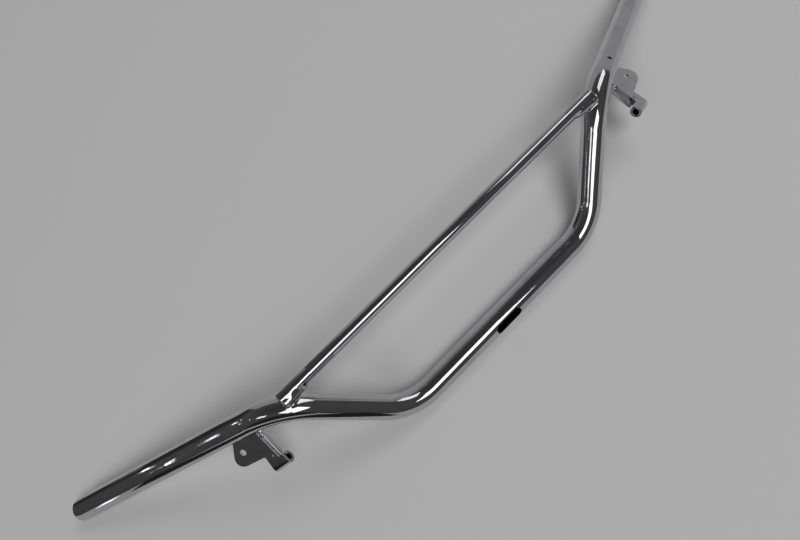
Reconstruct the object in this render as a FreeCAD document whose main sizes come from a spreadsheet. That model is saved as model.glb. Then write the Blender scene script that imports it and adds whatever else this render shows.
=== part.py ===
import FreeCAD, Part
import Sketcher
import math
import os

from FreeCAD import Placement, Rotation, Vector

doc = FreeCAD.newDocument("handlebar")

# Driving sizes of the bar, in millimetres and degrees
sizes = [
    ("tube_diameter", "22.2"),
    ("tube_wall", "2.2"),
    ("rim_round", "2"),
    ("clamp_half_width", "117.8"),
    ("shoulder_half_width", "193.9"),
    ("bar_rise", "96.6"),
    ("lower_bend_radius", "55"),
    ("upper_bend_radius", "55"),
    ("grip_reach", "212.3"),
    ("grip_pullback", "128.5"),
    ("grip_lift", "1.4"),
    ("slot_length", "30.6"),
    ("slot_width", "9.5"),
    ("slot_turn", "-13"),
    ("wire_hole_diameter", "4.6"),
    ("wire_hole_place", "40.3"),
    ("wire_hole_turn", "42"),
    ("crossbar_diameter", "12"),
    ("crossbar_wall", "1.6"),
    ("crossbar_lift", "1.9"),
    ("crossbar_setback", "4.4"),
    ("crossbar_closed_end", "40"),
    ("crossbar_weld_root", "5.5"),
    ("crossbar_weld_tip", "0.6"),
    ("crossbar_weld_length", "31"),
    ("crossbar_weld_sink", "3"),
    ("bracket_thickness", "2.5"),
    ("bracket_drop", "8.7"),
    ("bracket_root", "3"),
    ("bracket_inner", "35.5"),
    ("bracket_outer", "60.5"),
    ("bracket_turn_left", "-62"),
    ("bracket_turn_right", "-71"),
    ("lobe_edge", "37.5"),
    ("lobe_slant", "58"),
    ("lobe_radius", "8.5"),
    ("notch_place", "47.5"),
    ("notch_radius", "1.5"),
    ("arm_end", "47.5"),
    ("arm_lean", "8"),
    ("arm_skew", "3.2"),
    ("pivot_place", "63.6"),
    ("pivot_distance", "25"),
    ("pivot_diameter", "6.2"),
    ("lock_hole_place", "40"),
    ("lock_hole_distance", "39.5"),
    ("lock_hole_diameter", "2.4"),
    ("curl_bore", "6"),
    ("curl_seam", "0.8"),
    ("fold_radius", "2"),
    ("flange_depth", "6"),
    ("flange_start", "14"),
    ("flange_gap", "0.5"),
    ("bracket_weld_leg", "3.6"),
    ("bracket_weld_start", "38"),
    ("bracket_weld_end", "62"),
]

sheet = doc.addObject("Spreadsheet::Sheet", "sizes")
for row, (name, value) in enumerate(sizes, start=1):
    sheet.set(f"A{row}", name)
    sheet.set(f"B{row}", value)
    sheet.setAlias(f"B{row}", name)
doc.recompute()


def size(name):
    return float(sheet.get(name))


def bind(item, **expressions):
    for prop, expression in expressions.items():
        item.setExpression(prop.replace("__", "."), expression)


# How the bar lies: the clamp section and both grip rims touch the same floor
tube_radius = size("tube_diameter") / 2
grip_length = Vector(size("grip_reach"), size("grip_pullback"), size("grip_lift")).Length


def lowest_rim(tilt):
    fall = size("grip_lift") * math.sin(tilt) - size("grip_pullback") * math.cos(tilt)
    level = math.sqrt(1 - (fall / grip_length) ** 2)
    return size("bar_rise") * math.sin(tilt) + fall - tube_radius * level


def resting_tilt():
    low, high = 0.0, math.pi / 2
    for step in range(50):
        middle = (low + high) / 2
        if lowest_rim(middle) > -tube_radius:
            high = middle
        else:
            low = middle
    return middle


tilt = resting_tilt()
up = Vector(0, math.cos(tilt), math.sin(tilt))
front = Vector(0, -math.sin(tilt), math.cos(tilt))


def lie(side, out, back, rise):
    return Vector(side * out, 0, 0) - front * back + up * rise


# Corners of the tube's centre line, on the right (-1) and left (+1) of the rider
def lower_corner(side):
    return lie(side, size("clamp_half_width"), 0, 0)


def upper_corner(side):
    return lie(side, size("shoulder_half_width"), 0, size("bar_rise"))


def grip_direction(side):
    return lie(side, size("grip_reach"), size("grip_pullback"), size("grip_lift")).normalize()


def grip_point(side, distance):
    return upper_corner(side) + grip_direction(side) * distance


def bend(before, corner, after, radius):
    back_line = (before - corner).normalize()
    onward_line = (after - corner).normalize()
    half_turn = (math.pi - back_line.getAngle(onward_line)) / 2
    tangent = radius * math.tan(half_turn)
    inside = (back_line + onward_line).normalize()
    middle = corner + inside * (radius / math.cos(half_turn) - radius)
    return corner + back_line * tangent, middle, corner + onward_line * tangent


def half_path(side):
    lower = bend(Vector(0, 0, 0), lower_corner(side), upper_corner(side), size("lower_bend_radius"))
    upper = bend(lower_corner(side), upper_corner(side), grip_point(side, grip_length),
                 size("upper_bend_radius"))
    return [
        Part.Arc(*lower).toShape(),
        Part.LineSegment(lower[2], upper[0]).toShape(),
        Part.Arc(*upper).toShape(),
        Part.LineSegment(upper[2], grip_point(side, grip_length)).toShape(),
    ], lower[0]


right_edges, clamp_right = half_path(-1)
left_edges, clamp_left = half_path(1)
clamp_edge = Part.LineSegment(clamp_right, clamp_left).toShape()
tube_path = doc.addObject("Part::Feature", "tube_path")
tube_path.Shape = Part.Wire(Part.__sortEdges__(right_edges + [clamp_edge] + left_edges))


# Straight round bars bent along the same centre line
def bent_bar(name, radius):
    section = doc.addObject("Part::Circle", name + "_section")
    bind(section, Radius=radius)
    start = tube_path.Shape.OrderedVertexes[0].Point
    onward = tube_path.Shape.OrderedVertexes[1].Point - start
    section.Placement = Placement(start, Rotation(Vector(0, 0, 1), onward))
    bar = doc.addObject("Part::Sweep", name)
    bar.Sections = [section]
    edge_count = len(tube_path.Shape.Edges)
    bar.Spine = (tube_path, [f"Edge{number}" for number in range(1, edge_count + 1)])
    bar.Solid = True
    return bar


def cut(name, base, tool):
    result = doc.addObject("Part::Cut", name)
    result.Base = base
    result.Tool = tool
    return result


def fuse(name, *pieces):
    result = doc.addObject("Part::MultiFuse", name)
    result.Shapes = list(pieces)
    return result


def rod(name, place, axis, **expressions):
    item = doc.addObject("Part::Cylinder", name)
    bind(item, **expressions)
    item.Placement = Placement(place, Rotation(Vector(0, 0, 1), axis))
    return item


tube_outside = bent_bar("tube_outside", "sizes.tube_diameter / 2")
tube_inside = bent_bar("tube_inside", "sizes.tube_diameter / 2 - sizes.tube_wall")
plain_tube = cut("plain_tube", tube_outside, tube_inside)


# Long slot in the clamp section, through the front wall, where the switch wires come out
def slot_cutter():
    block = doc.addObject("Part::Box", "slot_block")
    bind(block, Length="sizes.slot_length - sizes.slot_width", Width="sizes.slot_width",
         Height="sizes.tube_diameter", Placement__Base__x="(sizes.slot_width - sizes.slot_length) / 2",
         Placement__Base__y="-sizes.slot_width / 2")
    ends = []
    for name, sign in (("slot_right_end", "-1"), ("slot_left_end", "1")):
        end = doc.addObject("Part::Cylinder", name)
        bind(end, Radius="sizes.slot_width / 2", Height="sizes.tube_diameter",
             Placement__Base__x=f"{sign} * (sizes.slot_length - sizes.slot_width) / 2")
        ends.append(end)
    cutter = fuse("slot_cutter", block, *ends)
    turn = math.radians(size("slot_turn"))
    facing = front * math.cos(turn) + up * math.sin(turn)
    cutter.Placement = Placement(Vector(), Rotation(Vector(1, 0, 0), Vector(), facing, "XZY"))
    return cutter


# Directions across a grip: forward and upward, square to its axis
def grip_sides(side):
    along = grip_direction(side)
    forward = (front - along * front.dot(along)).normalize()
    upward = (up - along * up.dot(along) - forward * up.dot(forward)).normalize()
    return along, forward, upward


def wire_hole_cutter():
    along, forward, upward = grip_sides(1)
    turn = math.radians(size("wire_hole_turn"))
    facing = forward * math.cos(turn) + upward * math.sin(turn)
    return rod("wire_hole_cutter", grip_point(1, size("wire_hole_place")), facing,
               Radius="sizes.wire_hole_diameter / 2", Height="sizes.tube_diameter")


cut_tube = cut("cut_tube", plain_tube, fuse("tube_cutters", slot_cutter(), wire_hole_cutter()))
doc.recompute()


# The two open ends have their outer rim rounded off
def rim_numbers(shape):
    rims = [grip_point(side, grip_length) for side in (-1, 1)]
    numbers = []
    for number, edge in enumerate(shape.Edges, start=1):
        circle = edge.Curve
        if not isinstance(circle, Part.Circle) or abs(circle.Radius - tube_radius) > 0.001:
            continue
        if min(circle.Center.distanceToPoint(rim) for rim in rims) < 0.01:
            numbers.append(number)
    return numbers


main_tube = doc.addObject("Part::Fillet", "main_tube")
main_tube.Base = cut_tube
main_tube.Edges = [(number, size("rim_round"), size("rim_round")) for number in rim_numbers(cut_tube.Shape)]


# Straight crossbar, closed at its ends and coped over the upper bends, which carry it
crossbar_height = size("bar_rise") + size("crossbar_lift")
crossbar_half_length = "(sizes.shoulder_half_width - sizes.crossbar_setback)"


def crossbar_rod(name, radius, half_length):
    item = doc.addObject("Part::Cylinder", name)
    bind(item, Radius=radius, Height=f"2 * ({half_length})")
    middle = lie(1, 0, 0, crossbar_height)
    item.Placement = Placement(middle, Rotation(Vector(0, 0, 1), Vector(1, 0, 0)))
    bind(item, Placement__Base__x=f"-({half_length})")
    return item


crossbar_outside = crossbar_rod("crossbar_outside", "sizes.crossbar_diameter / 2", crossbar_half_length)
crossbar_inside = crossbar_rod("crossbar_inside", "sizes.crossbar_diameter / 2 - sizes.crossbar_wall",
                               crossbar_half_length + " - sizes.crossbar_closed_end")
crossbar = cut("crossbar", cut("hollow_crossbar", crossbar_outside, crossbar_inside), tube_outside)


# Tapered weld along the crossbar's underside, running into each upper bend
def crossbar_weld(name, side):
    bead = doc.addObject("Part::Cone", name + "_bead")
    bind(bead, Radius1="sizes.crossbar_weld_root", Radius2="sizes.crossbar_weld_tip",
         Height="sizes.crossbar_weld_length")
    reach = size("shoulder_half_width") - size("crossbar_setback") + size("crossbar_weld_sink")
    root = lie(side, reach, 0, crossbar_height - size("crossbar_diameter") / 2)
    bead.Placement = Placement(root, Rotation(Vector(0, 0, 1), Vector(-side, 0, 0)))
    return cut(name, bead, fuse(name + "_parents", tube_outside, crossbar_outside))


crossbar_welds = [crossbar_weld("left_crossbar_weld", 1), crossbar_weld("right_crossbar_weld", -1)]


# Lever brackets, each folded from one sheet and welded under its grip.
# A bracket is drawn with X out along the grip from the upper corner, Y away from the grip's axis
# and Z across the sheet; hand is +1 where Z faces forward and -1 on the mirror-image bracket.
def base_plane(body, role):
    return next(plane for plane in body.Origin.OriginFeatures if plane.Role == role)


def new_sketch(body, name, role, turn=0, **offsets):
    sketch = body.newObject("Sketcher::SketchObject", name)
    sketch.AttachmentSupport = [(base_plane(body, role), "")]
    sketch.MapMode = "FlatFace"
    sketch.AttachmentOffset = Placement(Vector(), Rotation(Vector(0, 1, 0), turn))
    for axis, expression in offsets.items():
        sketch.setExpression(f"AttachmentOffset.Base.{axis}", expression)
    return sketch


def fix(sketch, kind, first, first_end, second, second_end, expression):
    number = sketch.addConstraint(Sketcher.Constraint(kind, first, first_end, second, second_end, 1.0))
    sketch.setExpression(f"Constraints[{number}]", expression)


def draw_outline(sketch, corners):
    count = len(corners)
    spread = [Vector(math.cos(2 * math.pi * step / count), math.sin(2 * math.pi * step / count), 0)
              for step in range(count)]
    for step in range(count):
        sketch.addGeometry(Part.LineSegment(spread[step], spread[(step + 1) % count]))
    for step, (across, along) in enumerate(corners):
        sketch.addConstraint(Sketcher.Constraint("Coincident", step - 1 if step else count - 1, 2, step, 1))
        fix(sketch, "DistanceX", -1, 1, step, 1, across)
        fix(sketch, "DistanceY", -1, 1, step, 1, along)


def draw_circle(sketch, radius, across=None, along=None):
    circle = sketch.addGeometry(Part.Circle(Vector(1, 1, 0), Vector(0, 0, 1), 1))
    number = sketch.addConstraint(Sketcher.Constraint("Radius", circle, 1.0))
    sketch.setExpression(f"Constraints[{number}]", radius)
    if across is None:
        sketch.addConstraint(Sketcher.Constraint("Coincident", circle, 3, -1, 1))
    else:
        fix(sketch, "DistanceX", -1, 1, circle, 3, across)
        fix(sketch, "DistanceY", -1, 1, circle, 3, along)


def pad(body, name, sketch, length, down):
    feature = body.newObject("PartDesign::Pad", name)
    feature.Profile = sketch
    feature.Reversed = down
    bind(feature, Length=length)
    return feature


def pierce(body, name, sketch):
    feature = body.newObject("PartDesign::Pocket", name)
    feature.Profile = sketch
    feature.Type = "ThroughAll"
    feature.Midplane = True
    return feature


def corner_edge(shape, across, along):
    for number, edge in enumerate(shape.Edges, start=1):
        ends = [vertex.Point for vertex in edge.Vertexes]
        if all(math.hypot(end.x - across, end.y - along) < 0.01 for end in ends):
            return f"Edge{number}"
    raise ValueError("no corner edge there")


def fold_edges(shape, level):
    root = Vector(size("bracket_inner"), size("bracket_root"), level)
    end = Vector(size("bracket_inner") - size("arm_lean"), size("arm_end"), level)
    fold_line = Part.LineSegment(root, end).toShape()
    return [f"Edge{number}" for number, edge in enumerate(shape.Edges, start=1)
            if all(fold_line.distToShape(Part.Vertex(vertex.Point))[0] < 0.01 for vertex in edge.Vertexes)]


def round_corner(body, name, base, across, along, radius):
    doc.recompute()
    feature = body.newObject("PartDesign::Fillet", name)
    feature.Base = (base, [corner_edge(base.Shape, across, along)])
    bind(feature, Radius=radius)
    return feature


def lever_bracket(name, side, turn_name):
    along, forward, upward = grip_sides(side)
    turn = math.radians(size(turn_name))
    away = forward * math.cos(turn) + upward * math.sin(turn)
    facing = upward * math.cos(turn) - forward * math.sin(turn)
    hand = 1 if along.cross(away).dot(facing) > 0 else -1
    face = f"{-hand} * sizes.bracket_drop"
    body = doc.addObject("PartDesign::Body", name)
    body.Placement = Placement(upper_corner(side), Rotation(along, away, facing * hand, "XYZ"))

    # Flat of the sheet: root, pivot lobe, notch and arm
    lobe_reach = "(sizes.lobe_edge - sizes.bracket_root) / tan(sizes.lobe_slant)"
    flat = new_sketch(body, name + "_flat", "XY_Plane", z=face)
    draw_outline(flat, [
        ("sizes.bracket_inner", "sizes.bracket_root"),
        ("sizes.bracket_outer", "sizes.bracket_root"),
        (f"sizes.bracket_outer + {lobe_reach}", "sizes.lobe_edge"),
        ("sizes.notch_place", "sizes.lobe_edge"),
        ("sizes.notch_place", "sizes.arm_end + sizes.arm_skew"),
        ("sizes.bracket_inner - sizes.arm_lean", "sizes.arm_end"),
    ])
    plate = pad(body, name + "_plate", flat, "sizes.bracket_thickness", hand > 0)
    slant = math.radians(size("lobe_slant"))
    lobe_corner = size("bracket_outer") + (size("lobe_edge") - size("bracket_root")) / math.tan(slant)
    lobe = round_corner(body, name + "_lobe", plate, lobe_corner, size("lobe_edge"), "sizes.lobe_radius")
    round_corner(body, name + "_notch", lobe, size("notch_place"), size("lobe_edge"), "sizes.notch_radius")

    # Flange folded back along the inner edge, up to the curl
    curl_radius = "(sizes.curl_bore / 2 + sizes.bracket_thickness)"
    lean = "sizes.arm_lean / (sizes.arm_end - sizes.bracket_root)"
    edge_start = f"sizes.bracket_inner - {lean} * (sizes.flange_start - sizes.bracket_root)"
    flange_end = f"(sizes.arm_end - {curl_radius} - sizes.flange_gap)"
    edge_end = f"sizes.bracket_inner - {lean} * ({flange_end} - sizes.bracket_root)"
    fold = new_sketch(body, name + "_fold", "XY_Plane", z=face)
    draw_outline(fold, [
        (edge_start, "sizes.flange_start"),
        (f"{edge_start} + sizes.bracket_thickness", "sizes.flange_start"),
        (f"{edge_end} + sizes.bracket_thickness", flange_end),
        (edge_end, flange_end),
    ])
    flange = pad(body, name + "_flange", fold, "sizes.bracket_thickness + sizes.flange_depth", hand > 0)
    doc.recompute()
    rounding = body.newObject("PartDesign::Fillet", name + "_fold_round")
    rounding.Base = (flange, fold_edges(flange.Shape, -hand * size("bracket_drop")))
    bind(rounding, Radius="sizes.fold_radius")

    # End of the arm curled back into an eye for the cable, square to the leaning arm
    arm_width = "(sizes.notch_place - sizes.bracket_inner + sizes.arm_lean)"
    skew = math.degrees(math.atan2(
        size("arm_skew"), size("notch_place") - size("bracket_inner") + size("arm_lean")))
    ring = new_sketch(body, name + "_ring", "YZ_Plane", skew, x="sizes.arm_end",
                      y=f"{face} - {hand} * {curl_radius}",
                      z="sizes.bracket_inner - sizes.arm_lean")
    draw_circle(ring, curl_radius)
    draw_circle(ring, "sizes.curl_bore / 2")
    pad(body, name + "_curl", ring, f"sqrt({arm_width} ^ 2 + sizes.arm_skew ^ 2)", False)
    back_face = f"{-hand} * (sizes.bracket_drop + sizes.bracket_thickness)"
    seam_low = f"{back_face} - sizes.curl_seam" if hand > 0 else back_face
    seam = new_sketch(body, name + "_seam", "YZ_Plane", skew, x=f"sizes.arm_end - {curl_radius}",
                      y=seam_low, z="sizes.bracket_inner - sizes.arm_lean")
    draw_outline(seam, [
        ("0", "0"),
        (curl_radius, "0"),
        (curl_radius, "sizes.curl_seam"),
        ("0", "sizes.curl_seam"),
    ])
    pierce(body, name + "_seam_gap", seam)

    # Lever pivot, small lock hole, and the saddle that sits on the grip
    holes = new_sketch(body, name + "_holes", "XY_Plane", z=face)
    draw_circle(holes, "sizes.pivot_diameter / 2", "sizes.pivot_place", "sizes.pivot_distance")
    draw_circle(holes, "sizes.lock_hole_diameter / 2", "sizes.lock_hole_place", "sizes.lock_hole_distance")
    pierce(body, name + "_drilling", holes)
    saddle = new_sketch(body, name + "_saddle", "YZ_Plane")
    draw_circle(saddle, "sizes.tube_diameter / 2")
    body.Tip = pierce(body, name + "_cope", saddle)
    return body, hand


# Bead in the corner between the grip and a bracket's sheet, with round ends
def bracket_weld(name, bracket, hand):
    corner = math.sqrt(tube_radius ** 2 - size("bracket_drop") ** 2)
    ends = [bracket.Placement.multVec(Vector(size(end), corner, -hand * size("bracket_drop")))
            for end in ("bracket_weld_start", "bracket_weld_end")]
    bar = rod(name + "_bar", ends[0], ends[1] - ends[0], Radius="sizes.bracket_weld_leg",
              Height="sizes.bracket_weld_end - sizes.bracket_weld_start")
    caps = []
    for number, end in enumerate(ends, start=1):
        cap = doc.addObject("Part::Sphere", f"{name}_cap_{number}")
        bind(cap, Radius="sizes.bracket_weld_leg")
        cap.Placement.Base = end
        caps.append(cap)
    behind = doc.addObject("Part::Box", name + "_behind")
    bind(behind, Length="sizes.bracket_weld_end + 2 * sizes.bracket_weld_leg",
         Width="2 * sizes.tube_diameter", Height="sizes.tube_diameter")
    low = -size("bracket_drop") - size("tube_diameter") if hand > 0 else size("bracket_drop")
    behind.Placement = bracket.Placement.multiply(Placement(Vector(0, -tube_radius, low), Rotation()))
    return cut(name, fuse(name + "_bead", bar, *caps), fuse(name + "_parents", tube_outside, behind))


left_bracket, left_hand = lever_bracket("left_lever_bracket", 1, "bracket_turn_left")
right_bracket, right_hand = lever_bracket("right_lever_bracket", -1, "bracket_turn_right")
bracket_welds = [
    bracket_weld("left_bracket_weld", left_bracket, left_hand),
    bracket_weld("right_bracket_weld", right_bracket, right_hand),
]
doc.recompute()

pieces = [main_tube, crossbar, left_bracket, right_bracket] + crossbar_welds + bracket_welds
for item in doc.Objects:
    if "Invalid" in item.State or "Error" in item.State:
        raise RuntimeError(f"{item.Name} did not build: {item.State}")
for piece in pieces:
    if piece.Shape.isNull() or not piece.Shape.isValid() or not piece.Shape.Solids:
        raise RuntimeError(f"{piece.Name} is not a sound solid")

os.makedirs("parts", exist_ok=True)
for piece in pieces:
    piece.Label = piece.Name
    piece.Shape.exportStep(f"parts/{piece.Label}.step")
    print(piece.Label, len(piece.Shape.Solids), round(piece.Shape.Volume, 1))
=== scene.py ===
import math

import bpy
from mathutils import Matrix, Vector
from mathutils.kdtree import KDTree


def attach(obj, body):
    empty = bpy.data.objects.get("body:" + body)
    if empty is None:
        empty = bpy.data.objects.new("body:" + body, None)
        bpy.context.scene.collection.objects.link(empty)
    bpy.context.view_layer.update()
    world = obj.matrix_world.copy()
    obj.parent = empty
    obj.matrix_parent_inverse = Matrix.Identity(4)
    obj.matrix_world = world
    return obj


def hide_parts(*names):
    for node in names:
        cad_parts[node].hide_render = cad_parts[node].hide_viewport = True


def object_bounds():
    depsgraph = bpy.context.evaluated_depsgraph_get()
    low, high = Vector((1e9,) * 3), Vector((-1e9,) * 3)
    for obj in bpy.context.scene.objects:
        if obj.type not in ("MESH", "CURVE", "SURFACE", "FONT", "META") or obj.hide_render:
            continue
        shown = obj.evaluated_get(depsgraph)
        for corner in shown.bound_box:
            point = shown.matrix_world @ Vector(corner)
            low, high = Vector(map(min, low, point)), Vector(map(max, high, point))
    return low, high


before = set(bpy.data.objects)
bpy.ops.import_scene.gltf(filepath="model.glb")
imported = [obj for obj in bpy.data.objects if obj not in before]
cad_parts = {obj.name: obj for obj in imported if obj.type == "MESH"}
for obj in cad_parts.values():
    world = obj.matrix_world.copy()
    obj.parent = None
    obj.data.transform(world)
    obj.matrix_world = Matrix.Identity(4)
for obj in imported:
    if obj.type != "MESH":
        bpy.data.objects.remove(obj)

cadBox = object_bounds()
hair = 0.00002  # closer than this is the same place
skinDepth = 0.00015  # deeper than this is inside a wall


# Small helpers for working in object and edit mode

def toObjectMode():
    if bpy.context.object and bpy.context.object.mode != "OBJECT":
        bpy.ops.object.mode_set(mode="OBJECT")


def deselectAll():
    toObjectMode()
    bpy.ops.object.select_all(action="DESELECT")


def pickOnly(piece):
    deselectAll()
    piece.select_set(True)
    bpy.context.view_layer.objects.active = piece


def nameActive(name):
    piece = bpy.context.object
    piece.name = name
    piece.data.name = name
    return piece


def settle():
    bpy.ops.object.transform_apply(location=True, rotation=True, scale=True)


def selectPoints(piece, test):
    toObjectMode()
    mesh = piece.data
    for poly in mesh.polygons:
        poly.select = False
    for edge in mesh.edges:
        edge.select = False
    for point in mesh.vertices:
        point.select = test(point.co)
    bpy.ops.object.mode_set(mode="EDIT")
    bpy.ops.mesh.select_mode(type="VERT")


def selectAllPoints():
    bpy.ops.object.mode_set(mode="EDIT")
    bpy.ops.mesh.select_mode(type="VERT")
    bpy.ops.mesh.select_all(action="SELECT")


def addModifier(piece, kind, **values):
    modifier = piece.modifiers.new(kind.title(), kind)
    for key, value in values.items():
        setattr(modifier, key, value)
    return modifier


def applyModifiers(piece):
    pickOnly(piece)
    for modifier in list(piece.modifiers):
        bpy.ops.object.modifier_apply(modifier=modifier.name)


def carve(piece, *cutters):
    for cutter in cutters:
        addModifier(piece, "BOOLEAN", operation="DIFFERENCE", solver="EXACT", object=cutter)
        applyModifiers(piece)
        bpy.data.objects.remove(cutter, do_unlink=True)


def outward(piece):
    pickOnly(piece)
    selectAllPoints()
    bpy.ops.mesh.remove_doubles(threshold=hair / 10)
    bpy.ops.mesh.normals_make_consistent(inside=False)
    toObjectMode()


def smoothUpTo(piece, degrees):
    pickOnly(piece)
    bpy.ops.object.shade_smooth_by_angle(angle=math.radians(degrees))


def copyOf(piece, name):
    twin = piece.copy()
    twin.data = piece.data.copy()
    twin.name = name
    twin.data.name = name
    bpy.context.collection.objects.link(twin)
    return twin


def turnedFrame(xAxis, yAxis, zAxis, place=(0, 0, 0)):
    frameMatrix = Matrix((xAxis, yAxis, zAxis)).transposed().to_4x4()
    frameMatrix.translation = place
    return frameMatrix


def placeBy(piece, matrix):
    pickOnly(piece)
    piece.matrix_world = matrix
    settle()


# Bar: one tube bent four times, drawn as a half and mirrored

bar = {
    "radius": 0.0111,
    "wall": 0.0022,
    "sides": 96,
    "riseTilt": 52.474126,  # degrees from the floor
    "clampCorner": 0.1178,
    "shoulder": 0.1939,
    "rise": 0.0966,
    "gripReach": 0.2123,
    "gripPullback": 0.1285,
    "gripLift": 0.0014,
    "bendRadius": 0.055,
    "bendSteps": 40,
    "clampSteps": 4,
    "riserSteps": 4,
    "gripSteps": 24,
    "rimRound": 0.0019,
    "rimSteps": 6,
    "smoothAngle": 32,
}
tilt = math.radians(bar["riseTilt"])
riseUp = Vector((0, math.cos(tilt), math.sin(tilt)))
riseFront = Vector((0, -math.sin(tilt), math.cos(tilt)))


def inRise(across, forward, upward):
    return Vector((across, 0, 0)) + riseFront * forward + riseUp * upward


def bendAt(before, corner, after):
    toBefore = (before - corner).normalized()
    toAfter = (after - corner).normalized()
    halfAngle = toBefore.angle(toAfter) / 2
    setback = bar["bendRadius"] / math.tan(halfAngle)
    middle = (toBefore + toAfter).normalized()
    return {
        "start": corner + toBefore * setback,
        "end": corner + toAfter * setback,
        "centre": corner + middle * (bar["bendRadius"] / math.sin(halfAngle)),
        "axis": toBefore.cross(toAfter).normalized(),
        "turn": math.pi - 2 * halfAngle,
    }


clampMiddle = Vector((0, 0, 0))
lowerCorner = inRise(bar["clampCorner"], 0, 0)
upperCorner = inRise(bar["shoulder"], 0, bar["rise"])
gripRun = inRise(bar["gripReach"], -bar["gripPullback"], bar["gripLift"])
gripEnd = upperCorner + gripRun
gripAlong = gripRun.normalized()
lowerBend = bendAt(clampMiddle, lowerCorner, upperCorner)
upperBend = bendAt(lowerCorner, upperCorner, gripEnd)


def ringAt(name, place, along, radius, sides):
    deselectAll()
    facing = along.to_track_quat("Z", "Y").to_euler()
    bpy.ops.mesh.primitive_circle_add(vertices=sides, radius=radius, location=place, rotation=facing)
    settle()
    piece = nameActive(name)
    selectAllPoints()
    return piece


def pullStraight(start, end, steps=1):
    for step in range(steps):
        bpy.ops.mesh.extrude_region_move(TRANSFORM_OT_translate={"value": (end - start) / steps})


def pullBend(bend, steps):
    bpy.ops.mesh.spin(steps=steps, angle=bend["turn"], center=bend["centre"], axis=bend["axis"])


def mirrored(piece):
    addModifier(piece, "MIRROR", use_axis=(True, False, False), merge_threshold=hair / 4)
    applyModifiers(piece)


slot = {
    "length": 0.0306,
    "width": 0.0095,
    "turn": -13,  # degrees round the bar from straight forward
    "sides": 64,
    "depth": 0.016,
    "runShare": 0.6,  # closer rings reach this far out, as a share of the length
    "runSteps": 16,
}


def slotCutter():
    deselectAll()
    bpy.ops.mesh.primitive_cylinder_add(
        vertices=slot["sides"], radius=slot["width"] / 2, depth=slot["depth"],
        location=(0, 0, bar["radius"]))
    settle()
    cutter = nameActive("slotCutter")
    stretch = (slot["length"] - slot["width"]) / 2
    for sign in (-1, 1):
        selectPoints(cutter, lambda co: co.x * sign > hair)
        bpy.ops.transform.translate(value=(sign * stretch, 0, 0))
    toObjectMode()
    turn = math.radians(slot["turn"])
    facing = riseFront * math.cos(turn) + riseUp * math.sin(turn)
    along = Vector((1, 0, 0))
    placeBy(cutter, turnedFrame(along, facing.cross(along), facing))
    return cutter


wireHole = {
    "radius": 0.0023,
    "place": 0.0403,  # out along the left grip from the upper corner
    "turn": 42,
    "sides": 40,
}


def gripSides(side):
    along = Vector((gripAlong.x * side, gripAlong.y, gripAlong.z))
    forward = (riseFront - along * riseFront.dot(along)).normalized()
    upward = (riseUp - along * riseUp.dot(along) - forward * riseUp.dot(forward)).normalized()
    return along, forward, upward


def cornerAt(side):
    return Vector((upperCorner.x * side, upperCorner.y, upperCorner.z))


def wireHoleCutter():
    along, forward, upward = gripSides(1)
    turn = math.radians(wireHole["turn"])
    facing = forward * math.cos(turn) + upward * math.sin(turn)
    deselectAll()
    bpy.ops.mesh.primitive_cylinder_add(
        vertices=wireHole["sides"], radius=wireHole["radius"], depth=slot["depth"],
        location=(0, 0, bar["radius"]))
    settle()
    cutter = nameActive("wireHoleCutter")
    place = cornerAt(1) + along * wireHole["place"]
    placeBy(cutter, turnedFrame(along, facing.cross(along), facing, place))
    return cutter


def makeBar():
    piece = ringAt("handlebarTube", clampMiddle, Vector((1, 0, 0)), bar["radius"], bar["sides"])
    slotRun = Vector((slot["length"] * slot["runShare"], 0, 0))
    pullStraight(clampMiddle, slotRun, slot["runSteps"])
    pullStraight(slotRun, lowerBend["start"], bar["clampSteps"])
    pullBend(lowerBend, bar["bendSteps"])
    pullStraight(lowerBend["end"], upperBend["start"], bar["riserSteps"])
    pullBend(upperBend, bar["bendSteps"])
    pullStraight(upperBend["end"], gripEnd, bar["gripSteps"])
    toObjectMode()
    mirrored(piece)
    outward(piece)
    first = piece.data.polygons[0]  # the wall is added inwards, so faces have to point out
    radial = Vector((0, first.center.y, first.center.z))
    if abs(first.center.x) < bar["clampCorner"] / 2 and first.normal.dot(radial) < 0:
        piece.data.flip_normals()
    addModifier(piece, "SOLIDIFY", thickness=bar["wall"], offset=-1, use_even_offset=True)
    applyModifiers(piece)

    def onOuterRim(co):
        fromEnd = Vector((abs(co.x), co.y, co.z)) - gripEnd
        out = fromEnd.dot(gripAlong)
        return abs(out) < hair and (fromEnd - gripAlong * out).length > bar["radius"] - skinDepth

    selectPoints(piece, onOuterRim)
    bpy.ops.mesh.bevel(offset=bar["rimRound"], segments=bar["rimSteps"], profile=0.5,
                       affect="EDGES", clamp_overlap=False)
    toObjectMode()
    carve(piece, slotCutter(), wireHoleCutter())
    for poly in piece.data.polygons:  # the slot's walls and the bore behind it get painted shade: a near-black finish
        fromAxis = math.hypot(poly.center.y, poly.center.z)
        if abs(poly.center.x) < slot["length"] and fromAxis < bar["radius"] - skinDepth:
            poly.material_index = 1
    smoothUpTo(piece, bar["smoothAngle"])
    return piece


handlebarTube = makeBar()
print("handlebar tube", len(handlebarTube.data.polygons))


# Crossbar: thin tube laid over the upper bends and coped to them

crossbar = {
    "radius": 0.006,
    "sides": 72,
    "halfLength": 0.1895,
    "lift": 0.0019,  # above the upper corners
    "endRound": 0.0012,
    "endSteps": 5,
    "copeRun": 0.05,  # how far the cope's cutter runs out along the grip
}
crossbarMiddle = inRise(0, 0, bar["rise"] + crossbar["lift"])


def shoulderCore(name, start, end, radius):
    core = ringAt(name, start, upperBend["start"] - start, radius, bar["sides"])
    bpy.ops.mesh.edge_face_add()
    pullStraight(start, upperBend["start"])
    pullBend(upperBend, bar["bendSteps"])
    pullStraight(upperBend["end"], end)
    toObjectMode()
    return core


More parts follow.
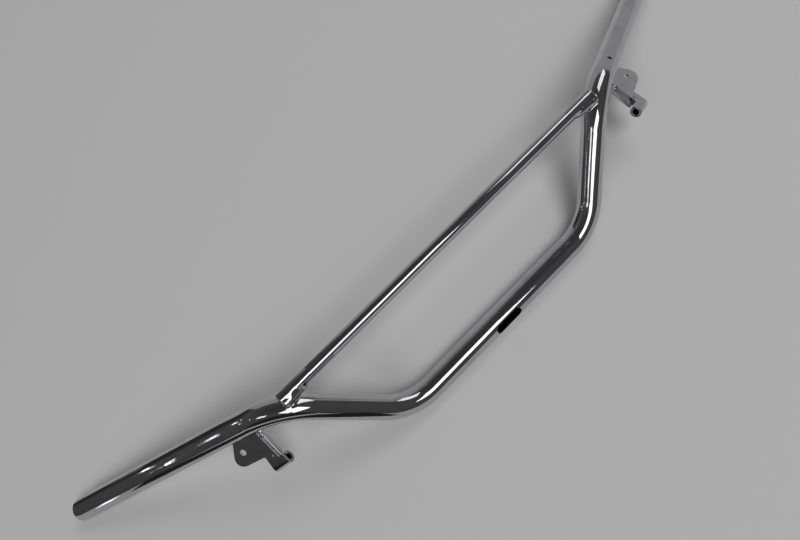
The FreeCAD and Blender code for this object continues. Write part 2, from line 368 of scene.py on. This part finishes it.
def makeCrossbar():
    deselectAll()
    bpy.ops.mesh.primitive_cylinder_add(
        vertices=crossbar["sides"], radius=crossbar["radius"], depth=2 * crossbar["halfLength"],
        location=crossbarMiddle, rotation=(0, math.pi / 2, 0))
    settle()
    piece = nameActive("crossbarTube")
    for sign in (-1, 1):
        selectPoints(piece, lambda co: co.x * sign > crossbar["halfLength"] - hair)
        bpy.ops.mesh.bevel(offset=crossbar["endRound"], segments=crossbar["endSteps"], profile=0.5,
                           affect="EDGES")
    toObjectMode()
    start = upperBend["start"].lerp(lowerBend["end"], 0.5)
    end = upperBend["end"] + gripAlong * crossbar["copeRun"]
    cutter = shoulderCore("shoulderCutter", start, end, bar["radius"])
    mirrored(cutter)
    outward(cutter)
    carve(piece, cutter)
    smoothUpTo(piece, bar["smoothAngle"])
    return piece


crossbarTube = makeCrossbar()
print("crossbar", len(crossbarTube.data.polygons))


# Lever brackets: one sheet, cut, folded, curled and drilled
# Drawn with x out along the grip, y away from the grip's axis and z across the sheet

bracket = {
    "thickness": 0.0025,
    "face": -0.0087,
    "root": 0.003,
    "innerEdge": 0.0355,
    "outerEdge": 0.0605,
    "lobeEdge": 0.0375,
    "lobeSlant": 58,
    "lobeRadius": 0.0085,
    "lobeSteps": 16,
    "notch": 0.0475,
    "notchRound": 0.0015,
    "notchSteps": 4,
    "armEnd": 0.0475,
    "armLean": 0.008,
    "armSkew": 0.0032,  # the arm ends square to its lean
    "flangeStart": 0.014,
    "flangeEnd": 0.0415,
    "flangeDepth": 0.006,
    "foldRadius": 0.0029,
    "foldSteps": 8,
    "curlBore": 0.006,
    "curlTurn": 292,
    "curlSteps": 44,
    "eyeMargin": 0.0002,  # how far past the eye's wall the painted shade reaches
    "drillLength": 0.006,
    "drillSides": 64,
    "saddleMiddle": 0.0455,
    "saddleLength": 0.1,
    "pivot": (0.0636, 0.025, 0.0031),
    "lockHole": (0.040, 0.0395, 0.0012),
    "edgeRound": 0.00035,
    "edgeSteps": 3,
    "edgeAngle": 40,
    "smoothAngle": 38,
    "turnLeft": -62,
    "turnRight": -71,
}


def plateCut(place, normal, clear):
    selectAllPoints()
    bpy.ops.mesh.bisect(plane_co=place, plane_no=normal, clear_outer=clear, threshold=hair / 20)
    toObjectMode()


def roundCorner(piece, across, away, offset, steps):
    selectPoints(piece, lambda co: math.hypot(co.x - across, co.y - away) < hair)
    bpy.ops.mesh.bevel(offset=offset, segments=steps, profile=0.5, affect="VERTICES")
    toObjectMode()


def drill(name, place, radius, along, length):
    deselectAll()
    facing = Vector(along).to_track_quat("Z", "Y").to_euler()
    bpy.ops.mesh.primitive_cylinder_add(vertices=bracket["drillSides"], radius=radius, depth=length,
                                        location=place, rotation=facing)
    settle()
    return nameActive(name)


def makeBracket():
    slant = math.radians(bracket["lobeSlant"])
    lobeCorner = bracket["outerEdge"] + (bracket["lobeEdge"] - bracket["root"]) / math.tan(slant)
    farEdge = bracket["innerEdge"] - bracket["armLean"]
    size = Vector((lobeCorner - farEdge, bracket["armEnd"] + bracket["armSkew"] - bracket["root"]))
    deselectAll()
    bpy.ops.mesh.primitive_plane_add(
        size=1, location=(farEdge + size.x / 2, bracket["root"] + size.y / 2, bracket["face"]))
    bpy.context.object.scale = (size.x, size.y, 1)
    settle()
    piece = nameActive("leverBracket")
    lean = Vector((-bracket["armLean"], bracket["armEnd"] - bracket["root"], 0)).normalized()
    inward = Vector((lean.y, -lean.x, 0))
    innerFoot = Vector((bracket["innerEdge"], bracket["root"], bracket["face"]))
    foldLine = innerFoot + inward * bracket["foldRadius"]
    plateCut(foldLine, -inward, True)
    outerNormal = (math.sin(slant), -math.cos(slant), 0)
    plateCut((bracket["outerEdge"], bracket["root"], bracket["face"]), outerNormal, True)
    plateCut((0, bracket["lobeEdge"], bracket["face"]), (0, 1, 0), False)
    plateCut((bracket["notch"], 0, bracket["face"]), (1, 0, 0), False)
    armFoot = Vector((farEdge, bracket["armEnd"], bracket["face"]))
    armAcross = Vector((bracket["notch"] - farEdge, bracket["armSkew"], 0)).normalized()
    armOut = Vector((-armAcross.y, armAcross.x, 0))

    def besideArm(co):
        return co.x > bracket["notch"] + hair and co.y > bracket["lobeEdge"] + hair

    selectPoints(piece, besideArm)
    bpy.ops.mesh.delete(type="VERT")
    toObjectMode()
    plateCut(armFoot, armOut, True)
    selectAllPoints()
    bpy.ops.mesh.dissolve_limited(angle_limit=0.001)
    toObjectMode()
    lobeSetback = bracket["lobeRadius"] / math.tan(slant / 2)
    roundCorner(piece, lobeCorner, bracket["lobeEdge"], lobeSetback, bracket["lobeSteps"])
    roundCorner(piece, bracket["notch"], bracket["lobeEdge"], bracket["notchRound"],
                bracket["notchSteps"])
    for level in (bracket["flangeStart"], bracket["flangeEnd"]):  # ends of the fold
        plateCut((0, level, bracket["face"]), (0, 1, 0), False)

    # Flange along the inner edge, folded round and down
    def onFold(co):
        offLine = (co - foldLine).dot(inward)
        alongFold = bracket["flangeStart"] - hair < co.y < bracket["flangeEnd"] + hair
        return abs(offLine) < hair and alongFold

    selectPoints(piece, onFold)
    bpy.ops.mesh.spin(steps=bracket["foldSteps"], angle=math.pi / 2,
                      center=foldLine - Vector((0, 0, bracket["foldRadius"])), axis=-lean)
    drop = bracket["thickness"] + bracket["flangeDepth"] - bracket["foldRadius"]
    bpy.ops.mesh.extrude_region_move(TRANSFORM_OT_translate={"value": (0, 0, -drop)})
    toObjectMode()

    # End of the arm curled round into the cable eye
    curlRadius = bracket["curlBore"] / 2 + bracket["thickness"]
    selectPoints(piece, lambda co: (co - armFoot).dot(armOut) > -hair and co.z > bracket["face"] - hair)
    bpy.ops.mesh.spin(steps=bracket["curlSteps"], angle=math.radians(bracket["curlTurn"]),
                      center=armFoot - Vector((0, 0, curlRadius)), axis=armAcross)
    toObjectMode()
    outward(piece)
    plate = max(piece.data.polygons, key=lambda poly: poly.area)
    if plate.normal.z < 0:
        piece.data.flip_normals()
    addModifier(piece, "SOLIDIFY", thickness=bracket["thickness"], offset=-1, use_even_offset=True)
    applyModifiers(piece)
    pivotX, pivotY, pivotRadius = bracket["pivot"]
    lockX, lockY, lockRadius = bracket["lockHole"]
    level = bracket["face"] - bracket["thickness"] / 2
    carve(piece,
          drill("pivotDrill", (pivotX, pivotY, level), pivotRadius, (0, 0, 1), bracket["drillLength"]),
          drill("lockDrill", (lockX, lockY, level), lockRadius, (0, 0, 1), bracket["drillLength"]),
          drill("saddleCutter", (bracket["saddleMiddle"], 0, 0), bar["radius"], (1, 0, 0),
                bracket["saddleLength"]))
    addModifier(piece, "BEVEL", width=bracket["edgeRound"], segments=bracket["edgeSteps"],
                limit_method="ANGLE", angle_limit=math.radians(bracket["edgeAngle"]),
                use_clamp_overlap=True)
    applyModifiers(piece)
    eyeMiddle = armFoot - Vector((0, 0, curlRadius))
    for poly in piece.data.polygons:  # the eye's inside gets painted shade: a near-black finish
        fromEye = poly.center - eyeMiddle
        fromEye -= armAcross * fromEye.dot(armAcross)
        if fromEye.length < bracket["curlBore"] / 2 + bracket["eyeMargin"]:
            poly.material_index = 1
    return piece


def flattenShading(piece):
    addModifier(piece, "WEIGHTED_NORMAL", mode="FACE_AREA", weight=80, keep_sharp=True)
    applyModifiers(piece)


def bracketFrame(side, turnName):
    along, forward, upward = gripSides(side)
    turn = math.radians(bracket[turnName])
    away = forward * math.cos(turn) + upward * math.sin(turn)
    facing = upward * math.cos(turn) - forward * math.sin(turn)
    return turnedFrame(along, away, facing, cornerAt(side))


leftBracketFrame = bracketFrame(1, "turnLeft")
rightBracketFrame = bracketFrame(-1, "turnRight")
leftBracket = makeBracket()
leftBracket.name = leftBracket.data.name = "leftLeverBracket"
rightBracket = copyOf(leftBracket, "rightLeverBracket")
for piece, matrix in ((leftBracket, leftBracketFrame), (rightBracket, rightBracketFrame)):
    placeBy(piece, matrix)
    outward(piece)
    smoothUpTo(piece, bracket["smoothAngle"])
    flattenShading(piece)
print("brackets", len(leftBracket.data.polygons))


# Welds: plated-over skins that run from one piece into the other

weld = {
    "voxel": 0.0005,
    "proud": 0.00009,
    "sunk": 0.00012,
    "fade": 0.010,  # length over which a skin sinks into the tube
    "stubStart": 0.150,
    "smoothing": 6,
    "filletSmoothing": 45,
    "lastSmoothing": 2,
    "lumpSize": 0.005,
    "lumpHeight": 0.0007,
    "lumpMiddle": 0.45,  # share of the lumps' height that stays level
    "lumpReach": 0.0045,
    "filletLength": 0.024,
    "filletWide": 0.0066,
    "filletNarrow": 0.0035,
    "filletEnd": 0.001,  # inside the crossbar's end
    "filletFront": 0.0016,  # from the crossbar's axis towards the front and down
    "filletDown": 0.0036,
    "filletSides": 48,
    "filletRings": 13,
    "bracketBead": 0.0033,
    "beadSmoothing": 4,
    "beadSides": 32,
    "bracketStart": 0.038,
    "bracketEnd": 0.062,
    "bracketBlobs": (  # lumps round the inner corner: place along, away and across, then radius
        (0.0352, 0.0112, -0.0088, 0.0027),
        (0.0335, 0.0102, -0.0100, 0.0021),
        (0.0327, 0.0108, -0.0113, 0.0022),
        (0.0372, 0.0098, -0.0085, 0.0024),
        (0.0364, 0.0140, -0.0084, 0.0028),
        (0.0366, 0.0178, -0.0082, 0.0030),
    ),
    "blobSides": 24,
    "blobLean": (-0.29, -0.30, 0.91),
    "blobFlat": 0.5,
}
lumps = bpy.data.textures.new("weldLumps", "CLOUDS")
lumps.noise_scale = weld["lumpSize"]
lumps.noise_depth = 1


def joinInto(piece, *others):
    pickOnly(piece)
    for other in others:
        other.select_set(True)
    bpy.ops.object.join()


def meltTogether(piece, smoothing):
    addModifier(piece, "REMESH", mode="VOXEL", voxel_size=weld["voxel"])
    addModifier(piece, "SMOOTH", factor=0.5, iterations=smoothing)
    applyModifiers(piece)


def addLumps(piece, **limits):
    addModifier(piece, "DISPLACE", texture=lumps, texture_coords="GLOBAL", strength=weld["lumpHeight"],
                **limits)


def sinkEnd(piece, place, along, radius):
    selectPoints(piece, lambda co: abs((co - place).dot(along)) < hair)
    share = (radius - weld["sunk"]) / (radius + weld["proud"])
    bpy.ops.transform.resize(value=(share, share, share), center_override=place)
    toObjectMode()


def shoulderSkin():
    riser = (upperBend["start"] - lowerBend["end"]).normalized()
    start = upperBend["start"] - riser * weld["fade"]
    end = upperBend["end"] + gripAlong * weld["fade"]
    core = shoulderCore("shoulderSkin", start, end, bar["radius"] + weld["proud"])
    sinkEnd(core, start, riser, bar["radius"])
    sinkEnd(core, end, gripAlong, bar["radius"])
    return core


def crossbarStub():
    radius = crossbar["radius"] + weld["proud"]
    start = crossbarMiddle + Vector((weld["stubStart"], 0, 0))
    fadeEnd = start + Vector((weld["fade"], 0, 0))
    tip = crossbarMiddle + Vector((crossbar["halfLength"], 0, 0))
    stub = ringAt("crossbarStub", start, Vector((1, 0, 0)), radius, crossbar["sides"])
    bpy.ops.mesh.edge_face_add()
    pullStraight(start, fadeEnd)
    pullStraight(fadeEnd, tip)
    toObjectMode()
    sinkEnd(stub, start, Vector((1, 0, 0)), crossbar["radius"])
    return stub


def cornerFillet(side):
    length, wide, narrow = weld["filletLength"], weld["filletWide"], weld["filletNarrow"]
    offset = riseFront * weld["filletFront"] - riseUp * weld["filletDown"]
    outer = crossbarMiddle + offset + Vector((crossbar["halfLength"] - weld["filletEnd"], 0, 0))
    outer.x *= side
    inward = Vector((-side * length, 0, 0))
    deselectAll()
    bpy.ops.mesh.primitive_cone_add(
        vertices=weld["filletSides"], radius1=wide, radius2=narrow, depth=length,
        location=outer + inward / 2, rotation=(0, -side * math.pi / 2, 0))
    settle()
    spokes = weld["filletSides"] // 2
    points = []
    for ring in range(weld["filletRings"] + 1):
        share = ring / weld["filletRings"]
        radius = wide + (narrow - wide) * share
        for spoke in range(spokes):
            angle = 2 * math.pi * spoke / spokes
            around = Vector((0, radius * math.cos(angle), radius * math.sin(angle)))
            points.append(outer + inward * share + around)
    return nameActive("cornerFillet"), points


def makeCrossbarWeld(name, side, node):
    skin = shoulderSkin()
    stub = crossbarStub()
    if side < 0:
        for half in (skin, stub):
            placeBy(half, Matrix.Scale(-1, 4, (1, 0, 0)))
    collar = copyOf(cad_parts[node], "weldCollar")
    collar.parent = None
    collar.matrix_world = Matrix.Identity(4)
    outward(collar)
    fillet, filletPoints = cornerFillet(side)
    weldPoints = [point.co.copy() for point in collar.data.vertices] + filletPoints
    nearby = KDTree(len(weldPoints))
    for index, place in enumerate(weldPoints):
        nearby.insert(place, index)
    nearby.balance()
    for half in (skin, stub, fillet):
        outward(half)
    joinInto(skin, stub, collar, fillet)
    skin.name = skin.data.name = name
    meltTogether(skin, weld["smoothing"])
    lumpy = skin.vertex_groups.new(name="lumpy")
    for point in skin.data.vertices:
        away = nearby.find(point.co)[2]
        lumpy.add([point.index], max(0, 1 - away / weld["lumpReach"]), "REPLACE")
    addModifier(skin, "SMOOTH", factor=0.5, iterations=weld["filletSmoothing"], vertex_group="lumpy")
    addLumps(skin, vertex_group="lumpy", mid_level=weld["lumpMiddle"])
    addModifier(skin, "SMOOTH", factor=0.5, iterations=weld["lastSmoothing"])
    applyModifiers(skin)
    outward(skin)
    bpy.ops.object.shade_smooth()
    return skin


leftCrossbarWeld = makeCrossbarWeld("leftCrossbarWeld", 1, "left_crossbar_weld")
rightCrossbarWeld = makeCrossbarWeld("rightCrossbarWeld", -1, "right_crossbar_weld")
print("crossbar welds", len(leftCrossbarWeld.data.polygons))


def bracketBead(name, matrix):
    deselectAll()
    corner = math.sqrt(bar["radius"] ** 2 - bracket["face"] ** 2)
    middle = (weld["bracketStart"] + weld["bracketEnd"]) / 2
    bpy.ops.mesh.primitive_uv_sphere_add(
        segments=weld["beadSides"], ring_count=weld["beadSides"] // 2, radius=weld["bracketBead"],
        location=(middle, corner, bracket["face"]))
    settle()
    bead = nameActive(name)
    stretch = (weld["bracketEnd"] - weld["bracketStart"]) / 2
    for sign in (-1, 1):
        selectPoints(bead, lambda co: (co.x - middle) * sign > hair)
        bpy.ops.transform.translate(value=(sign * stretch, 0, 0))
    blobs = []
    lean = Vector(weld["blobLean"]).to_track_quat("Z", "Y").to_euler()
    for along, away, across, radius in weld["bracketBlobs"]:
        deselectAll()
        bpy.ops.mesh.primitive_uv_sphere_add(
            segments=weld["blobSides"], ring_count=weld["blobSides"] // 2, radius=radius,
            location=(along, away, across), rotation=lean, scale=(1, 1, weld["blobFlat"]))
        settle()
        blobs.append(nameActive("weldBlob"))
    joinInto(bead, *blobs)
    placeBy(bead, matrix)
    outward(bead)
    meltTogether(bead, weld["beadSmoothing"])
    addLumps(bead)
    applyModifiers(bead)
    outward(bead)
    bpy.ops.object.shade_smooth()
    return bead


leftBracketWeld = bracketBead("leftBracketWeld", leftBracketFrame)
rightBracketWeld = bracketBead("rightBracketWeld", rightBracketFrame)
print("bracket welds", len(leftBracketWeld.data.polygons))


# Finishes

def newGroup(name, inputs, outputs):
    group = bpy.data.node_groups.new(name, "ShaderNodeTree")
    for label, kind, value in inputs:
        socket = group.interface.new_socket(name=label, in_out="INPUT", socket_type=kind)
        socket.default_value = value
    for label, kind in outputs:
        group.interface.new_socket(name=label, in_out="OUTPUT", socket_type=kind)
    return group


def nodeIn(tree, kind, **values):
    item = tree.nodes.new(kind)
    for key, value in values.items():
        setattr(item, key, value)
    return item


def platedSurface():
    group = newGroup(
        "platedSurface",
        [("Bright", "NodeSocketColor", (0.57, 0.57, 0.58, 1)),
         ("Dull", "NodeSocketColor", (0.47, 0.47, 0.48, 1)),
         ("Haze Scale", "NodeSocketFloat", 45),
         ("Polished", "NodeSocketFloat", 0.03),
         ("Hazed", "NodeSocketFloat", 0.12),
         ("Ripple Scale", "NodeSocketFloat", 120),
         ("Scratch Scale", "NodeSocketFloat", 900)],
        [("Colour", "NodeSocketColor"), ("Roughness", "NodeSocketFloat"), ("Height", "NodeSocketFloat")])
    inside = nodeIn(group, "NodeGroupInput")
    outside = nodeIn(group, "NodeGroupOutput")
    where = nodeIn(group, "ShaderNodeTexCoord")
    haze = nodeIn(group, "ShaderNodeTexNoise")
    haze.inputs["Detail"].default_value = 5
    haze.inputs["Roughness"].default_value = 0.6
    group.links.new(where.outputs["Object"], haze.inputs["Vector"])
    group.links.new(inside.outputs["Haze Scale"], haze.inputs["Scale"])
    hazeMask = nodeIn(group, "ShaderNodeMapRange")
    hazeMask.inputs["From Min"].default_value = 0.45
    hazeMask.inputs["From Max"].default_value = 0.75
    group.links.new(haze.outputs["Fac"], hazeMask.inputs["Value"])
    tint = nodeIn(group, "ShaderNodeMix", data_type="RGBA")
    group.links.new(hazeMask.outputs["Result"], tint.inputs["Factor"])
    group.links.new(inside.outputs["Bright"], tint.inputs["A"])
    group.links.new(inside.outputs["Dull"], tint.inputs["B"])
    group.links.new(tint.outputs["Result"], outside.inputs["Colour"])
    rough = nodeIn(group, "ShaderNodeMapRange")
    group.links.new(hazeMask.outputs["Result"], rough.inputs["Value"])
    group.links.new(inside.outputs["Polished"], rough.inputs["To Min"])
    group.links.new(inside.outputs["Hazed"], rough.inputs["To Max"])
    group.links.new(rough.outputs["Result"], outside.inputs["Roughness"])
    ripple = nodeIn(group, "ShaderNodeTexNoise")
    ripple.inputs["Detail"].default_value = 1
    group.links.new(where.outputs["Object"], ripple.inputs["Vector"])
    group.links.new(inside.outputs["Ripple Scale"], ripple.inputs["Scale"])
    scratch = nodeIn(group, "ShaderNodeTexNoise")
    scratch.inputs["Detail"].default_value = 3
    group.links.new(where.outputs["Object"], scratch.inputs["Vector"])
    group.links.new(inside.outputs["Scratch Scale"], scratch.inputs["Scale"])
    fine = nodeIn(group, "ShaderNodeMath", operation="MULTIPLY_ADD")
    fine.inputs[1].default_value = 0.04
    group.links.new(scratch.outputs["Fac"], fine.inputs[0])
    group.links.new(ripple.outputs["Fac"], fine.inputs[2])
    group.links.new(fine.outputs["Value"], outside.inputs["Height"])
    return group


plated = platedSurface()


def finish(name, metallic, bump, **values):
    material = bpy.data.materials.new(name)
    material.use_nodes = True
    tree = material.node_tree
    shader = tree.nodes["Principled BSDF"]
    shader.inputs["Metallic"].default_value = metallic
    surface = nodeIn(tree, "ShaderNodeGroup", node_tree=plated)
    for label, value in values.items():
        surface.inputs[label.replace("_", " ")].default_value = value
    relief = nodeIn(tree, "ShaderNodeBump")
    relief.inputs["Distance"].default_value = bump
    tree.links.new(surface.outputs["Colour"], shader.inputs["Base Color"])
    tree.links.new(surface.outputs["Roughness"], shader.inputs["Roughness"])
    tree.links.new(surface.outputs["Height"], relief.inputs["Height"])
    tree.links.new(relief.outputs["Normal"], shader.inputs["Normal"])
    return material


chromeTube = finish("chromeTube", 1, 0.00003)
chromePlate = finish("chromePlate", 1, 0.00006, Polished=0.07, Hazed=0.2, Haze_Scale=110)
chromeWeld = finish("chromeWeld", 1, 0.00012, Polished=0.06, Hazed=0.2, Haze_Scale=160,
                    Ripple_Scale=420)
# painted shade: near black with no shine, for the slot's walls, the bore behind it and the inside of the
# bracket's eye
paintedShadeBore = finish("paintedShadeBore", 0, 0.0002, Bright=(0.003, 0.003, 0.003, 1), Dull=(0.002, 0.002, 0.002, 1),
                  Polished=0.6, Hazed=0.8, Haze_Scale=150)
paintedShadeBore.node_tree.nodes["Principled BSDF"].inputs["Specular IOR Level"].default_value = 0


def dress(piece, *materials):
    chosen = [poly.material_index for poly in piece.data.polygons]
    piece.data.materials.clear()  # this sets each face back to the first material
    for material in materials:
        piece.data.materials.append(material)
    for poly, index in zip(piece.data.polygons, chosen):
        poly.material_index = min(index, len(materials) - 1)


dress(handlebarTube, chromeTube, paintedShadeBore)
dress(crossbarTube, chromeTube)
dress(leftBracket, chromePlate, paintedShadeBore)
dress(rightBracket, chromePlate, paintedShadeBore)
dress(leftBracketWeld, chromeWeld)
dress(rightBracketWeld, chromeWeld)
dress(leftCrossbarWeld, chromeTube)
dress(rightCrossbarWeld, chromeTube)
print("finishes", len(bpy.data.materials))


# Floor, camera and light

studio = {
    "floorSize": 24,
    "floorColour": (0.385, 0.38, 0.385, 1),
    "cardColour": (0.04, 0.04, 0.041, 1),
    "sensor": 36,
    "lens": 29.1205,
    "aim": (-0.03028, 0.11195, -0.0111),
    "azimuth": -16.4917,
    "elevation": 62.9044,
    "roll": -29.7285,
    "distance": 0.65059,
    "lampMiddle": (0, 0.08, 0),
    "lampDistance": 2.4,
}


def plainMaterial(name, colour):
    material = bpy.data.materials.new(name)
    material.use_nodes = True
    shader = material.node_tree.nodes["Principled BSDF"]
    shader.inputs["Base Color"].default_value = colour
    shader.inputs["Roughness"].default_value = 0.75
    shader.inputs["Specular IOR Level"].default_value = 0.2
    return material


def makeFloor():
    deselectAll()
    bpy.ops.mesh.primitive_plane_add(size=studio["floorSize"], location=(0, 0, cadBox[0][2]))
    settle()
    floor = nameActive("studioFloor")
    dress(floor, plainMaterial("paleFloor", studio["floorColour"]))


# Dark cards that stand just outside the picture and show in the chrome alone
cards = {
    "frontCard": {"from": (-0.46, 0.085), "to": (-0.15, -0.09), "height": 0.06},
    "sideCard": {"from": (-0.50, 0.19), "to": (-0.42, 0.35), "height": 0.035},
    "rearCard": {"from": (-0.42, 0.35), "to": (-0.34, 0.51), "height": 0.085},
}


def makeCards():
    material = plainMaterial("darkCard", studio["cardColour"])
    for name, card in cards.items():
        start, end = Vector((*card["from"], 0)), Vector((*card["to"], 0))
        deselectAll()
        bpy.ops.mesh.primitive_plane_add(size=1)
        piece = nameActive(name)
        along = (end - start).normalized()
        place = (start + end) / 2 + Vector((0, 0, cadBox[0][2] + card["height"] / 2))
        stood = turnedFrame(along, Vector((0, 0, 1)), along.cross(Vector((0, 0, 1))), place)
        placeBy(piece, stood @ Matrix.Diagonal(((end - start).length, card["height"], 1, 1)))
        piece.visible_camera = piece.visible_diffuse = piece.visible_shadow = False
        dress(piece, material)


def makeCamera():
    azimuth = math.radians(studio["azimuth"])
    elevation = math.radians(studio["elevation"])
    roll = math.radians(studio["roll"])
    back = Vector((math.sin(azimuth) * math.cos(elevation), -math.cos(azimuth) * math.cos(elevation),
                   math.sin(elevation)))
    level = Vector((0, 0, 1)).cross(back).normalized()
    upright = back.cross(level)
    right = level * math.cos(roll) + upright * math.sin(roll)
    up = upright * math.cos(roll) - level * math.sin(roll)
    data = bpy.data.cameras.new("camera")
    data.sensor_width = studio["sensor"]
    data.lens = studio["lens"]
    camera = bpy.data.objects.new("camera", data)
    bpy.context.collection.objects.link(camera)
    camera.matrix_world = turnedFrame(right, up, back, Vector(studio["aim"]) + back * studio["distance"])
    bpy.context.scene.camera = camera


lamps = {  # lean turns a lamp about its own direction, in degrees
    "frontSoftbox": {"toward": (-0.094, -0.669, 0.737), "size": (1.62, 1.0), "lean": -20, "power": 11.2},
    "sideSoftbox": {"toward": (0.6545, 0.139, 0.743), "size": (0.85, 1.6), "lean": 0, "power": 5.4},
}
glints = {  # small lamps that show in the chrome alone
    "rearSpot": {"toward": (-0.908, 0.162, 0.386), "size": (0.52, 0.03), "lean": 21, "power": 0.16},
    "farSpot": {"toward": (-0.721, 0.605, 0.338), "size": (0.42, 0.035), "lean": -27, "power": 0.15},
    "backSpot": {"toward": (-0.819, 0.305, 0.486), "size": (0.5, 0.03), "lean": 4, "power": 0.15},
    "cornerSpot": {"toward": (-0.691, 0.516, 0.507), "size": (0.25, 0.02), "lean": -18, "power": 0.06},
    "highSpot": {"toward": (-0.742, 0.074, 0.667), "size": (0.1, 0.03), "lean": 30, "power": 0.03},
    "leftStrip": {"toward": (-0.647, -0.235, 0.726), "size": (0.5, 0.34), "lean": 0, "power": 0.85},
    "lowStrip": {"toward": (-0.998, 0.042, 0.012), "size": (0.02, 0.024), "lean": 0, "power": 0.0026,
                 "distance": 0.521},
}
fills = {  # broad room light: evens out the floor and stays out of the chrome
    "frontFill": {"power": 1.75, "spread": 30, "toward": (0.042, -0.483, 0.875)},
    "sideFill": {"power": 0.55, "spread": 30, "toward": (0.533, 0.248, 0.809)},
    "leftFill": {"power": 0.7, "spread": 24, "toward": (-0.644, -0.372, 0.669)},
}


def makeLamps():
    middle = Vector(studio["lampMiddle"])
    for name, lamp in (*lamps.items(), *glints.items()):
        data = bpy.data.lights.new(name, "AREA")
        data.shape = "RECTANGLE"
        data.size, data.size_y = lamp["size"]
        data.energy = lamp["power"]
        item = bpy.data.objects.new(name, data)
        toward = Vector(lamp["toward"]).normalized()
        level = Vector((0, 0, 1)).cross(toward).normalized()
        width = Matrix.Rotation(math.radians(-lamp["lean"]), 3, toward) @ level
        place = middle + toward * lamp.get("distance", studio["lampDistance"])
        item.matrix_world = turnedFrame(width, toward.cross(width), toward, place)
        if name in glints:
            item.visible_camera = item.visible_diffuse = False
        bpy.context.collection.objects.link(item)
    for name, fill in fills.items():
        data = bpy.data.lights.new(name, "SUN")
        data.energy = fill["power"]
        data.angle = math.radians(fill["spread"])
        item = bpy.data.objects.new(name, data)
        item.rotation_euler = Vector(fill["toward"]).to_track_quat("Z", "Y").to_euler()
        item.visible_glossy = False
        bpy.context.collection.objects.link(item)


room = {
    "tones": ((0.0, 0.06), (0.7, 0.08), (1.0, 0.045)),  # by height
    "cool": 1.02,  # blue against red and green
    "patches": {  # tone, then directions with the share at which each begins and is full
        "paleWall": (0.33, (((0.990, 0.139, 0), 0.0, 0.06), ((0.194, 0.775, -0.601), -0.03, 0.04),
                            ((0, 0, -1), -0.64, -0.54))),
        "darkFront": (0.018, (((-0.643, -0.766, 0.0), 0.83, 0.9),)),
        "darkSide": (0.03, (((-0.371, 0.918, 0.139), 0.94, 0.978),)),
    },
}


def makeWorld():
    world = bpy.data.worlds.new("studioRoom")
    bpy.context.scene.world = world
    world.use_nodes = True
    tree = world.node_tree
    where = nodeIn(tree, "ShaderNodeTexCoord")

    def toward(direction):
        share = nodeIn(tree, "ShaderNodeVectorMath", operation="DOT_PRODUCT")
        share.inputs[1].default_value = direction
        tree.links.new(where.outputs["Generated"], share.inputs[0])
        return share.outputs["Value"]

    ramp = nodeIn(tree, "ShaderNodeValToRGB")
    stops = ramp.color_ramp.elements
    for index, (position, tone) in enumerate(room["tones"]):
        stop = stops[index] if index < 2 else stops.new(position)
        stop.position = position
        stop.color = (tone, tone, tone * room["cool"], 1)
    tree.links.new(toward((0, 0, 1)), ramp.inputs["Fac"])
    colour = ramp.outputs["Color"]
    for tone, limits in room["patches"].values():
        share = None
        for direction, begins, full in limits:
            limit = nodeIn(tree, "ShaderNodeMapRange")
            limit.inputs["From Min"].default_value = begins
            limit.inputs["From Max"].default_value = full
            tree.links.new(toward(direction), limit.inputs["Value"])
            if share:
                both = nodeIn(tree, "ShaderNodeMath", operation="MULTIPLY")
                tree.links.new(share, both.inputs[0])
                tree.links.new(limit.outputs["Result"], both.inputs[1])
                share = both.outputs["Value"]
            else:
                share = limit.outputs["Result"]
        blend = nodeIn(tree, "ShaderNodeMix", data_type="RGBA")
        blend.inputs["B"].default_value = (tone, tone, tone * room["cool"], 1)
        tree.links.new(share, blend.inputs["Factor"])
        tree.links.new(colour, blend.inputs["A"])
        colour = blend.outputs["Result"]
    tree.links.new(colour, tree.nodes["Background"].inputs["Color"])


makeFloor()
makeCards()
makeCamera()
makeLamps()
makeWorld()
bpy.context.scene.view_settings.view_transform = "Standard"
print("studio ready")

stands = (
    (handlebarTube, ("main_tube",)),
    (crossbarTube, ("crossbar",)),
    (leftBracket, ("left_lever_bracket",)),
    (rightBracket, ("right_lever_bracket",)),
    (leftCrossbarWeld, ("left_crossbar_weld",)),
    (rightCrossbarWeld, ("right_crossbar_weld",)),
    (leftBracketWeld, ("left_bracket_weld",)),
    (rightBracketWeld, ("right_bracket_weld",)),
)
for piece, nodes in stands:
    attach(piece, "root")
    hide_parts(*nodes)
